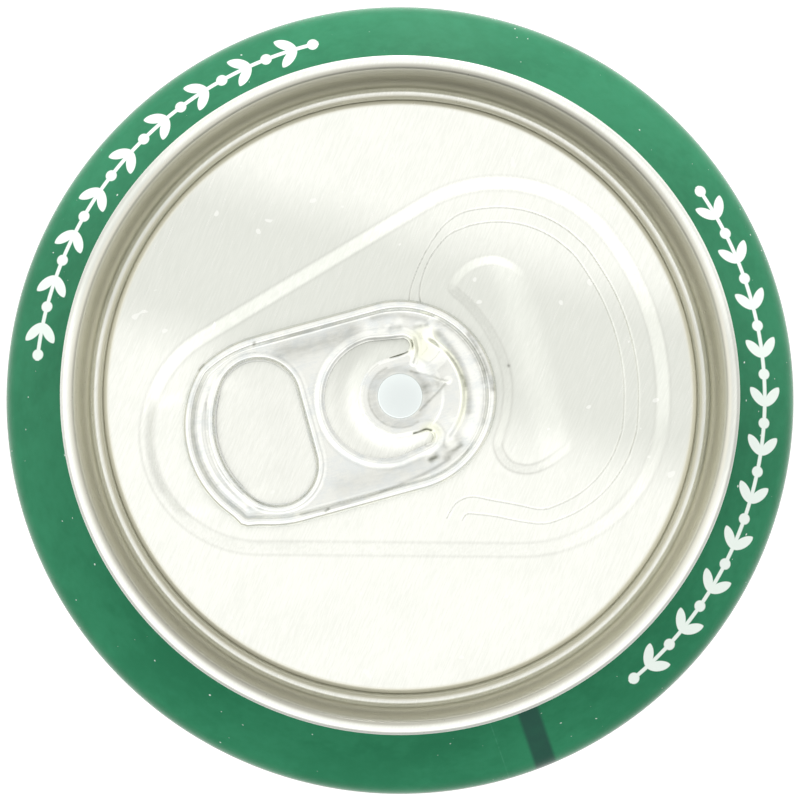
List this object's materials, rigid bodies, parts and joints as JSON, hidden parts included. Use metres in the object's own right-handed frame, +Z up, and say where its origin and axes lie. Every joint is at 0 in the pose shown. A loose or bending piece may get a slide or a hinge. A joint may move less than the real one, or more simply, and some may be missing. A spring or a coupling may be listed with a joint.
{
  "type": "soda can",
  "caption": "Shut aluminium drinks can with a tapered neck, a seamed end with a recessed panel, a riveted stay-on ring-pull tab and a domed base.",
  "frame": {"origin": "middle of the base, on the plane that the can stands on", "axes": "+Z up along the can's axis; +X along the end's line of symmetry, from the finger end of the tab to the pour opening"},
  "size_m": [0.0662, 0.0662, 0.1222],
  "materials": {
    "green_lacquer": "glossy green lacquer over aluminium, bare metal under the base",
    "end_aluminium": "bright rolled sheet with a fine straight grain",
    "tab_aluminium": "bright rolled sheet with curled edges and small press marks"
  },
  "bodies": {
    "root": {"can_body": "green_lacquer", "can_end": "end_aluminium", "tab": "tab_aluminium"}
  },
  "joints": []
}
